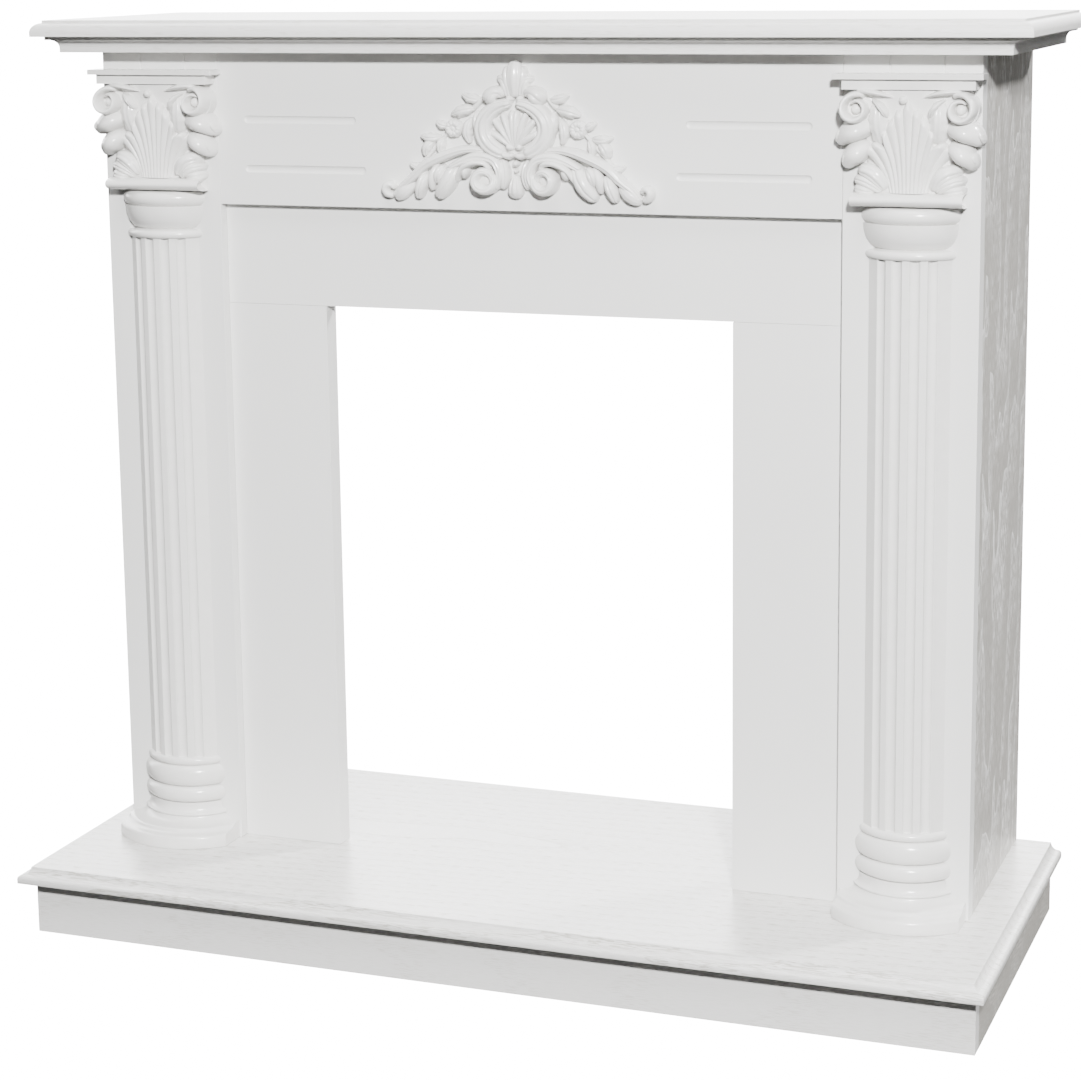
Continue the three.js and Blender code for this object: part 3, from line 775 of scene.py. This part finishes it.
def ridge(path, half_widths, heights, veins=(), cut=1.2, lean=0.0, lobes=0, blunt=0.55, across=16):
    """Closed ridge along a path in the plane of the face.

    Its half width swells along the path and ends in a quarter round at both ends. At v = -cos(phi) across
    it, it stands out by height * sin(phi)^blunt * (1 + lean v), less a bell-shaped groove of depth cut at
    each vein. Lobes scallop both edges, with a slanting furrow between each two.
    """
    steps = np.linalg.norm(np.diff(path, axis=0), axis=1)
    run = np.concatenate([[0], np.cumsum(steps)])
    s = run / run[-1]
    way = np.gradient(path, run, axis=0)
    way /= np.linalg.norm(way, axis=1, keepdims=True)
    side = np.column_stack([way[:, 1], -way[:, 0]])
    half = swell(half_widths, s)
    first, last = max(half[0], 0.6), max(half[-1], 0.6)
    q = np.maximum(1 - run / first, 1 - (run[-1] - run) / last).clip(0, 1)
    cap = np.sqrt(1 - q ** 2)
    phi = np.linspace(0, np.pi, across + 1)
    v = -np.cos(phi)[None, :]
    furrow = np.zeros((len(s), across + 1))
    if lobes:
        wave = np.abs(np.sin(np.pi * (lobes * s[:, None] - 0.35 * np.abs(v))))
        furrow = (1 - wave ** 0.7)
        half = half * (1 - 0.16 * furrow[:, 0])
    out = (swell(heights, s) * cap ** 0.6)[:, None] * (np.sin(phi)[None, :].clip(0) ** blunt) * (1 + lean * v)
    dip = sum((np.exp(-((v - at) / 0.16) ** 2) for at in veins), np.zeros_like(v))
    out = out - (cut * dip + 0.8 * cut * furrow * np.abs(v)) * cap[:, None] * np.sin(phi)[None, :]
    spread = (half * cap)[:, None] * v
    points = np.stack([
        path[:, 0, None] + side[:, 0, None] * spread,
        SEAT + np.maximum(out, 0),
        path[:, 1, None] + side[:, 1, None] * spread,
    ], -1)
    return shell(points)


def leaf(start, pull, end, half_widths, heights, **more):
    """Ridge along a single bend, as most leaves, petals and stems are."""
    return ridge(bend(start, pull, end), half_widths, heights, **more)


def leaflet(start, pull, end, half_widths, heights=(6, 8, 6), lobes=3):
    """Small leaf with one vein along its middle."""
    return leaf(start, pull, end, half_widths, heights, veins=(0,), lobes=lobes)


def boss(centre, radii, height, floor=0.0, blunt=1.0):
    """Closed dome over an ellipse: at the angle a it is cos(a) of the ellipse across, and stands out by
    floor + (height - floor) * sin(a)^blunt, on an upright rim as high as the floor."""
    a = np.radians(np.linspace(0, 90, 12))
    size = np.concatenate([[1.0], np.cos(a)])[:, None]
    out = np.concatenate([[0.0], floor + (height - floor) * np.sin(a) ** blunt])[:, None]
    turn = np.radians(np.arange(0, 360, 10))[None, :]
    x = centre[0] + radii[0] * size * np.cos(turn)
    z = centre[1] + radii[1] * size * np.sin(turn)
    return shell(np.stack([x, np.broadcast_to(SEAT + out, x.shape), z], -1))


def both(strokes):
    """The strokes and their mirror images at the other side of the middle."""
    return strokes + [(points * np.array([-1, 1, 1]), faces) for points, faces in strokes]


def planted(strokes, x, z):
    """Strokes moved to their place: the middle at x, the foot at z, standing out from the face."""
    return [(np.column_stack([x + p[:, 0], FACE - p[:, 1], z + p[:, 2]]), faces) for p, faces in strokes]


# %% [markdown]
# ## The capitals
#
# One broad acanthus leaf fans out over the front, from a round bar at the foot. Under each of its sides
# three short leaves roll up from the bar, and two plump leaves hang at the side of the bell. A volute closes
# each corner under the abacus, and a stem leads up to it. Behind them stands a plain bell. The numbers are
# millimetres from the middle of the capital's foot.
#
# The broad leaf is one grid. Its rim is a table of tips, and each row across it is a row of fingers, round on
# the back with a sharp valley between each two.

# %% Capitals
CAPITAL_BAND = {"height": 14.5, "half_width": 58.0, "reach": 30.0, "rounding": 10.875}
BELL_RINGS = [(0, 44, 12), (30, 46, 13), (60, 50, 15), (90, 58, 18), (103.5, 62, 20)]
VOLUTE = (53.5, 85.0)
FAN = {"foot": 21.0, "fingers": 11, "cut": 3.4, "rim": 8.0, "back": 15.0, "crown": 5.0, "bend_out": 7.0}
FAN_CURVE = {"spread": 0.10, "rise": 0.52, "notch_x": 0.06, "notch_z": 0.07, "rounded": 0.12}
FAN_TIPS = [
    (0.0, 0, 95), (0.09, 6, 93), (0.16, 9, 86), (0.27, 16, 86), (0.34, 17, 77), (0.45, 25, 72),
    (0.54, 28, 62), (0.62, 26, 52), (0.70, 33, 52), (0.82, 43, 52), (0.93, 48, 45), (1.0, 45, 38),
]


def bell_shell():
    """Shell of the ground: half ellipses, one for each level, as wide and as deep as the table says."""
    level, half, depth = np.array(BELL_RINGS, float).T[:, :, None]
    a = np.radians(np.linspace(-90, 90, 31))[None, :]
    x = half * np.sin(a)
    return shell(np.stack([x, SEAT + depth * np.cos(a), np.broadcast_to(level, x.shape)], -1))


def fan_leaf():
    """Shell of the broad leaf in front, a fan of fingers.

    Across the leaf u runs from -1 to 1, along it s from 0 to 1. A finger is |sin(pi n (u + 1) / 2)| with n
    fingers, so valleys are sharp and backs are round. The outline is a table of tips, one for each |u|, and
    each finger runs to its tip on a curve (1-s)^2 foot + 2 s (1-s) pull + s^2 tip. The leaf stands out by
    back + crown (1 - u^2) + bend_out s^2 (1 - u^2 / 2), and falls to its rim at the ends and both sides.
    """
    u = np.linspace(-1, 1, FAN["fingers"] * 12 + 1)[None, :]
    s = spaced(44)[:, None]
    finger = np.abs(np.sin(np.pi * FAN["fingers"] * (u + 1) / 2))
    share, tip_x, tip_z = np.array(FAN_TIPS, float).T
    curve = FAN_CURVE
    x1 = np.sign(u) * np.interp(np.abs(u), share, tip_x) * (1 - curve["notch_x"] * (1 - finger))
    z1 = np.interp(np.abs(u), share, tip_z) * (1 - curve["notch_z"] * (1 - finger))
    x0 = FAN["foot"] * u
    x = (1 - s) ** 2 * x0 + 2 * s * (1 - s) * (x0 + curve["spread"] * (x1 - x0)) + s ** 2 * x1
    z = 2 * s * (1 - s) * curve["rise"] * z1 + s ** 2 * z1
    end = np.sqrt(1 - np.clip((s - 1 + curve["rounded"]) / curve["rounded"], 0, 1) ** 2)
    edge = np.sqrt(1 - np.abs(u) ** 8)
    out = FAN["back"] + FAN["crown"] * (1 - u ** 2) + FAN["bend_out"] * s ** 2 * (1 - 0.5 * u ** 2)
    valley = FAN["cut"] * (1 - finger ** 0.8) * (0.5 + s - 0.6 * s ** 2)
    out = FAN["rim"] + (out - FAN["rim"]) * end * edge - valley
    front = np.stack([x, SEAT + out, z + 0 * u], -1)
    back = np.stack([x, 0 * x + SEAT, z + 0 * u], -1)[:, ::-1]
    return shell(np.concatenate([front, back], axis=1))


def band_shell():
    """Shell of the round bar under the capital, straight in front, its section a superellipse and its ends
    rounded off. The ends are flat where the rounding would become a point."""
    r = CAPITAL_BAND["height"] / 2
    turn = np.radians(np.linspace(12, 90, 14))
    inset = CAPITAL_BAND["rounding"] * (1 - np.sin(turn))
    half = CAPITAL_BAND["half_width"]
    x = np.concatenate([inset - half, half - inset[::-1]])[:, None]
    size = np.concatenate([np.sin(turn), np.sin(turn[::-1])])[:, None]
    a = np.radians(np.linspace(-89, 89, 25))[None, :]
    out = SEAT + (CAPITAL_BAND["reach"] - SEAT) * size ** 0.6 * np.cos(a) ** 0.6
    z = -r + r * size * np.sin(a)
    return shell(np.stack([np.broadcast_to(x, z.shape), out, z], -1))


def capital_strokes():
    """Everything that is carved on a capital, each stroke of the right half with its mirror image."""
    corner = [
        leaf((24, 2), (34, 24), (54, 22), (4, 7, 5), (15, 16, 13), veins=(-0.4, 0.3), cut=1.8, across=20),
        leaf((28, 0), (42, 13), (58, 13), (3, 5, 4), (14, 15, 12), veins=(0.0,), cut=1.6, across=20),
        leaf((34, 0), (48, 3), (58, 4), (3, 5, 4), (13, 14, 11), veins=(0.1,), cut=1.6, across=20),
    ]
    rolled = [
        leaf((36, 66), (62, 68), (74, 48), (6, 10, 3.5), (15, 22, 13), lean=0.15, blunt=0.62, across=24),
        leaf((38, 46), (58, 45), (67, 24), (5, 9.5, 3.5), (14, 20, 12), lean=0.15, blunt=0.62, across=24),
        leaf((69, 65), (74, 60), (75, 50), (1.4, 1.9, 1.2), (14, 15, 12), lobes=4, cut=1.6, across=12),
        leaf((62, 43), (67, 38), (68, 27), (1.4, 1.9, 1.2), (13, 14, 11), lobes=4, cut=1.6, across=12),
    ]
    stems = [
        leaf((27, 48), (33, 70), (30, 96), (7, 9, 6), (15, 17, 18), veins=(-0.5, 0.0, 0.5), cut=1.6,
             lobes=5, across=24),
        leaf((55, 102), (40, 105), (14, 96), (3.0, 2.6, 0.8), (20, 19, 18)),
        leaf((22, 74), (24, 88), (38, 95), (3.0, 3.4, 1.2), (18, 21, 17), veins=(0.0,), cut=1.2, lobes=3),
    ]
    volute = [
        boss(VOLUTE, (17.5, 17.5), 15, 14),
        ridge(spiral(VOLUTE, (15.4, 7.0), 128, -1.25), (3.2, 2.8, 1.8), (22, 24, 23), across=16, blunt=0.45),
        boss(VOLUTE, (5.6, 5.6), 23, 15, 0.8),
    ]
    middle = [
        fan_leaf(),
        boss((-5, 94), (4.5, 4.5), 25, 19),
        bell_shell(),
        band_shell(),
    ]
    return middle + both(corner + rolled + stems + volute)


for side, x in COLUMN_X.items():
    node_name = "capital_" + side
    low, high = box_mm(node_name)
    foot = low[2] + CAPITAL_BAND["height"]
    made = mesh_object(node_name + "_carved", planted(capital_strokes(), x, foot), sharp=50)
    stand_for(made, CASTING, "cast_paint", node_name)

# %% [markdown]
# ## The ornament
#
# In the middle of the frieze a ribbed shell lies in an oval frame, under a leaf finial and over a drop. From
# behind the frame a long acanthus scroll runs out at each side, and a flowering spray lies over it. Right
# and left are mirror images, so only the right half is drawn, from the foot of the drop.

# %% Ornament
OVAL = {"middle": (0.0, 79.0), "radii": (36.0, 27.5)}
SHELL_FOCUS = (0.0, 58.0)
SHELL_LEANS = (4, 20, 38, 58, 80)
FLOWER = (71.0, 79.0)


def shell_ribs():
    """Ribs that fan out from a focus low in the oval and end at its inner edge, where the ray at the
    lean angle meets the ellipse."""
    inner = np.array(OVAL["radii"]) - 7.0
    drop = (SHELL_FOCUS[1] - OVAL["middle"][1]) / inner[1]
    ribs = []
    for lean in SHELL_LEANS:
        way = np.array([math.sin(math.radians(lean)), math.cos(math.radians(lean))])
        u, w = way[0] / inner[0], way[1] / inner[1]
        square = u * u + w * w
        reach = (-w * drop + math.sqrt((w * drop) ** 2 - square * (drop * drop - 1))) / square
        tip = np.array(SHELL_FOCUS) + way * reach
        pull = (tip[0] * 0.42, (SHELL_FOCUS[1] + tip[1]) / 2 + 2)
        ribs.append(ridge(bend((1.2, SHELL_FOCUS[1] - 1), pull, tip), (1.4, 2.6, 3.6), (8, 9, 11)))
    return ribs


def flower():
    """Five petals round a domed middle."""
    petals = []
    for turn in np.radians(90 + 72 * np.arange(5)):
        tip = (FLOWER[0] + 10.5 * math.cos(turn), FLOWER[1] + 10.5 * math.sin(turn))
        pull = ((FLOWER[0] + tip[0]) / 2, (FLOWER[1] + tip[1]) / 2)
        petals.append(ridge(bend(FLOWER, pull, tip, 16), (2, 5, 4), (6, 8, 7), veins=(0,)))
    return petals + [boss(FLOWER, (3.6, 3.6), 10, 7)]


def oval_frame():
    """Right half of the oval frame: x = a cos t, z = b sin t about its middle, open at the foot."""
    u = spaced(60)
    a = np.radians(-74 + 160 * u)
    x = OVAL["middle"][0] + OVAL["radii"][0] * np.cos(a)
    z = OVAL["middle"][1] + OVAL["radii"][1] * np.sin(a)
    return ridge(np.column_stack([x, z]), (7.5, 7, 5), 17, veins=(-0.4, 0.35), cut=2.2, across=22)


def sprays():
    """Stems and leaves of the flowering spray over the scroll."""
    return [
        leaf((37, 112), (45, 100), (66, 91), (1.6, 2.2, 1.6), 7),
        leaflet((39, 110), (50, 109), (61, 116), (2, 5, 1)),
        leaflet((46, 100), (60, 100), (74, 93), (2, 6, 1), (7, 9, 6)),
        leaflet((44, 98), (44, 88), (45, 74), (2, 4, 1)),
        leaflet((50, 90), (60, 78), (52, 63), (2, 5, 1.5)),
        leaflet((77, 82), (84, 80), (91, 87), (2, 4, 1), lobes=2),
        leaflet((86, 70), (98, 66), (110, 71), (2, 5, 1), (6, 9, 6)),
        leaflet((82, 68), (89, 62), (86, 51), (2, 4.5, 1.5), lobes=2),
        leaflet((92, 66), (104, 62), (104, 48), (2, 5.5, 2), (6, 9, 7)),
        leaf((78, 74), (92, 60), (110, 40), (1.4, 1.8, 1.2), 6),
        leaflet((104, 38), (114, 34), (123, 41), (2, 4, 1), lobes=2),
    ]


def scrolls():
    """The acanthus scroll: its coil at the shell, the long back, and the leaves that hang from it."""
    return [
        ridge(through((23, 14), (17, 30), (24, 45), (42, 49), (58, 45), (76, 36)), (4, 4, 3.5), 15,
              veins=(0.1,), cut=1.8),
        ridge(through((28, 34), (34, 42), (47, 42.5), (60, 36), (69, 22)), (2.5, 2.6, 2.4), (12, 14, 11)),
        ridge(spiral((34, 24.5), (12, 8), 150, 1.15), (4.4, 4, 3), (14, 15, 13), veins=(0.0,), cut=1.0),
        boss((34, 24.5), (6.5, 6.5), 12, 6, 0.9),
        ridge(through((30, 55), (50, 57), (68, 54), (90, 46), (105, 38), (118, 26), (133, 14), (142, 4)),
              (2.5, 4.5, 3), (8, 12, 10), veins=(-0.3, 0.3)),
        leaf((55, 40), (57, 32), (60, 25), (3, 3.5, 2), (9, 11, 8)),
        leaf((68, 42), (76, 18), (92, 4), (5, 7, 4.5), (10, 13, 10), veins=(0.2,), cut=1.8),
        leaflet((80, 38), (90, 34), (89, 18), (3, 5, 3), (10, 12, 9), lobes=0),
        leaf((88, 40), (98, 30), (96, 11), (3, 4, 2.5), (9, 11, 8)),
        leaf((102, 32), (110, 16), (113, 2), (4, 5, 3), (9, 12, 9), veins=(0,), cut=1.5),
        leaf((118, 22), (130, 8), (142, 3), (4, 6, 4), (8, 10, 8), veins=(-0.5, 0, 0.5), cut=1.0),
        ridge(spiral((146, 13), (7.5, 2.5), -120, 0.9, 40), (3, 3.2, 2.4), (8, 9, 9), across=12),
        leaf((18, 47), (10, 30), (16, 14), (5, 5, 3.5), (8, 10, 8), veins=(-0.35, 0.35), cut=1.5),
    ]


def crest():
    """Leaves beside the finial, and the turned-up lip of the shell."""
    return [
        leaflet((4, 114), (9, 132), (8, 146), (3, 5, 4), (7, 8, 8), lobes=0),
        boss((6, 111), (5, 4), 11),
        leaflet((8, 112), (8, 136), (21, 131), (4, 5, 3), (7, 8, 6), lobes=0),
        leaf((14, 112), (18, 124), (33, 106), (4, 7, 7), (10, 13, 12), veins=(0,), cut=2.0),
        leaf((1, 52), (8, 48), (14, 53), (2, 3, 2), 14),
    ]


def middle_strokes():
    """What lies on the middle line: the oval's ground, the finial, two beads and the drop."""
    return [
        boss(OVAL["middle"], OVAL["radii"], 5.0, 4.0),
        leaf((0, 112), (0, 130), (0, 152), (4, 7, 6), (9, 9.5, 9), veins=(-0.4, 0.4)),
        boss((0, 42), (4, 4), 10),
        boss((0, 34), (2.6, 2.6), 8),
        leaf((0, 30), (0, 18), (0, 4), (3, 5, 8), (8, 10, 10), veins=(-0.35, 0.35), cut=1.6),
    ]


def ornament():
    """The whole relief, planted on the frieze with its foot where the measured one has it."""
    low, _ = box_mm("ornament")
    half = [oval_frame()] + shell_ribs() + flower() + sprays() + scrolls() + crest()
    return mesh_object("ornament_carved", planted(middle_strokes() + both(half), 0.0, low[2]), sharp=50)


stand_for(ornament(), CASTING, "cast_paint", "ornament")

# %% [markdown]
# ## Floor and light
#
# The picture was lit like a catalogue page, on white all round. A lamp stands in the room, at the right and
# not far away, so its light is stronger at the right and draws the short shadows of the cornice and the
# capitals. A very soft sun from above brightens the hearth and the shelf. A narrower one from behind on the
# right falls through the opening onto the hearth.
#
# A bright surrounding would fill those shadows, so world and floor are white to the lens only. Mirrored, the
# world is a bright wall behind and to the left, which gives the lacquer its sheen, and as light it gives
# very little, a bit more from the right, where the side would be black under the shelf.

# %% Floor
FLOOR_GLOW = 16.0
FLOOR_HALF = 30000.0
FLOOR_GAP = 0.5
FLOOR_THICKNESS = 10.0


def floor():
    """Large plain square that lies just under the plinth. It neither lights nor is mirrored."""
    low = np.array([-FLOOR_HALF, -FLOOR_HALF, -FLOOR_GAP - FLOOR_THICKNESS])
    high = np.array([FLOOR_HALF, FLOOR_HALF, -FLOOR_GAP])
    made = mesh_object("studio_floor", [block(low, high)])
    material, _, shader, _ = new_material("matt_white_floor", paint("#f4f4f4"), 0.9)
    shader.inputs["Emission Color"].default_value = (1.0, 1.0, 1.0, 1.0)
    shader.inputs["Emission Strength"].default_value = FLOOR_GLOW
    made.data.materials.append(material)
    made.visible_diffuse = False
    made.visible_glossy = False


floor()

# %% [markdown]
# A sun is placed by its turn to the right of the front and its height over the floor, in degrees, and the
# lamp by a point of the room. The world has three strengths, and the kind of ray decides which one counts.
# Its soft steps are given as parts of a way of length one: across, into the picture and up.

# %% Light
SUNS = [
    {"name": "overhead", "turn": 8, "height": 64, "spread": 30, "strength": 2.7},
    {"name": "through_opening", "turn": 133, "height": 35, "spread": 5, "strength": 4.5},
]
KEY_PLACE = (1400.0, -3000.0, 2050.0)
KEY_AIM = (0.0, -50.0, 600.0)
KEY_WIDTH = 240.0
KEY_POWER = 345.0
WORLD_SEEN = 18.0
WORLD_GLOSS = 13.0
WORLD_LIGHT = 0.06
SIDE_LIGHT = 0.40
WALL_STEPS = {"behind": (-0.1, 0.2), "not_right": (0.3, -0.1), "above": (-0.05, 0.1)}
SIDE_STEP = (0.5, 0.9)


def add_sun(name, turn, height, spread, strength):
    """Sun that shines from the given turn to the right of the front and height over the floor, in degrees."""
    lamp = bpy.data.lights.new("sun_" + name, "SUN")
    lamp.energy = strength
    lamp.angle = math.radians(spread)
    made = bpy.data.objects.new(lamp.name, lamp)
    made.rotation_euler = (math.radians(90 - height), 0.0, math.radians(turn))
    bpy.context.scene.collection.objects.link(made)


def add_key():
    """Round lamp that stands in the room at the right and points at the middle of the object."""
    lamp = bpy.data.lights.new("key", "AREA")
    lamp.shape = "DISK"
    lamp.size = KEY_WIDTH * MM
    lamp.energy = KEY_POWER
    made = bpy.data.objects.new("key", lamp)
    made.location = [v * MM for v in KEY_PLACE]
    made.rotation_euler = (Vector(KEY_AIM) - Vector(KEY_PLACE)).to_track_quat("-Z", "Y").to_euler()
    made.visible_camera = False
    bpy.context.scene.collection.objects.link(made)


for sun in SUNS:
    add_sun(**sun)
add_key()


def white_world():
    """World with one strength for the lens, one for mirrored rays and one for light.

    The mirrored strength is a product of soft steps in the ray's direction: behind the object, not far to
    the right, and over the horizon. The light is a little stronger from the right.
    """
    world = bpy.data.worlds.new("white_surrounding")
    world.use_nodes = True
    bpy.context.scene.world = world
    tree = world.node_tree
    ray = add_node(tree, "ShaderNodeLightPath")
    around = add_node(tree, "ShaderNodeTexCoord").outputs["Generated"]
    way = add_node(tree, "ShaderNodeSeparateXYZ", vector=around)
    behind = soft_step(tree, way.outputs["Y"], *WALL_STEPS["behind"], high=WORLD_GLOSS)
    left = soft_step(tree, way.outputs["X"], *WALL_STEPS["not_right"], high=behind)
    wall = soft_step(tree, way.outputs["Z"], *WALL_STEPS["above"], high=left)
    side_glow = soft_step(tree, way.outputs["X"], *SIDE_STEP, low=WORLD_LIGHT, high=SIDE_LIGHT)
    given = add_node(tree, "ShaderNodeMix", {"data_type": "FLOAT"}, input_0=ray.outputs["Is Glossy Ray"],
                     input_2=side_glow, input_3=wall)
    strength = add_node(tree, "ShaderNodeMix", {"data_type": "FLOAT"}, input_0=ray.outputs["Is Camera Ray"],
                        input_2=given.outputs[0], input_3=WORLD_SEEN)
    background = tree.nodes["Background"]
    background.inputs["Color"].default_value = (1.0, 1.0, 1.0, 1.0)
    tree.links.new(strength.outputs[0], background.inputs["Strength"])


white_world()
print("lit by a lamp,", len(SUNS), "suns and a white world")
